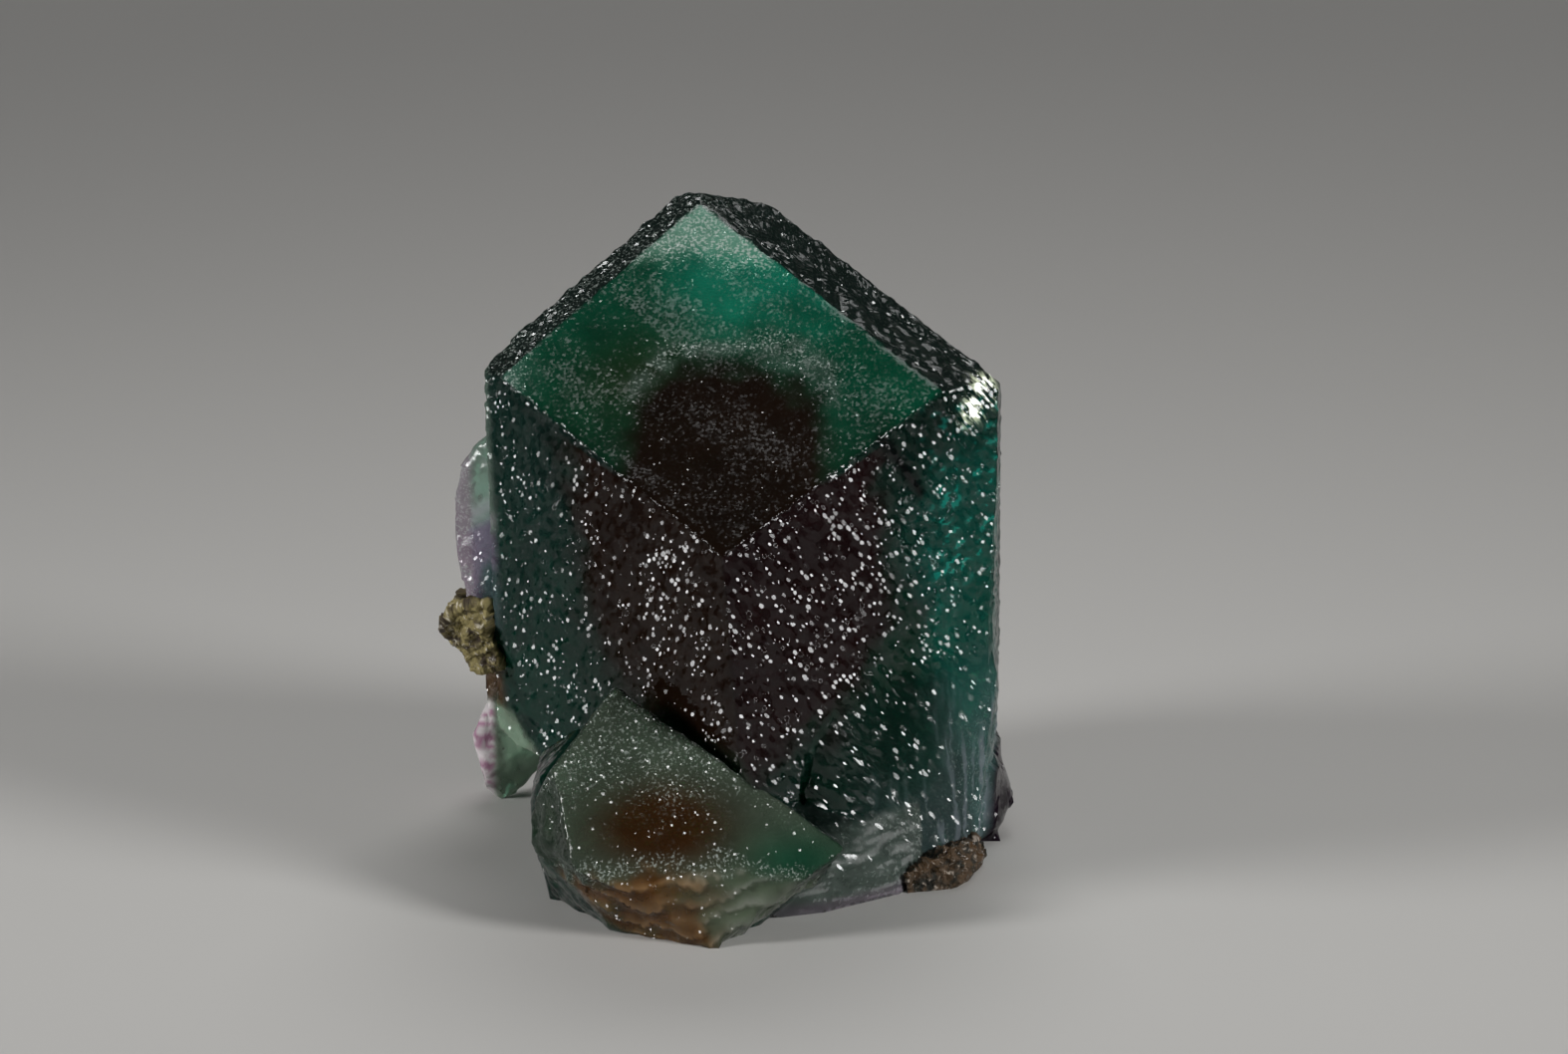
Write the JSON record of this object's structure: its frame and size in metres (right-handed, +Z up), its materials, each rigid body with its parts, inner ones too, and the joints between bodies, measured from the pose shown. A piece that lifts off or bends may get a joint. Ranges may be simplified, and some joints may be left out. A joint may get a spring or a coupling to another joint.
{
  "type": "fluorite specimen",
  "caption": "Natural fluorite specimen: a leaning dark green cubic crystal with smaller crystals grown into its foot and side, and crumbs of rock.",
  "frame": {"origin": "bottom centre of the bounding box, on the flat cut under the foot", "axes": "+Z up as the specimen stands, +X to the right in its front view, +Y from front to back"},
  "size_m": [0.0298, 0.0399, 0.0356],
  "materials": {
    "green_fluorite": "clear to hazy dark green crystal with brown cores, finely frosted and etched faces",
    "olive_rock": "rough crumb of yellow-olive and brown rock",
    "brown_rock": "rough crumb of brown rock with tiny glittering grains"
  },
  "bodies": {
    "root": {"fluorite_crystals": "green_fluorite", "left_rock": "olive_rock", "right_rock": "brown_rock"}
  },
  "joints": []
}
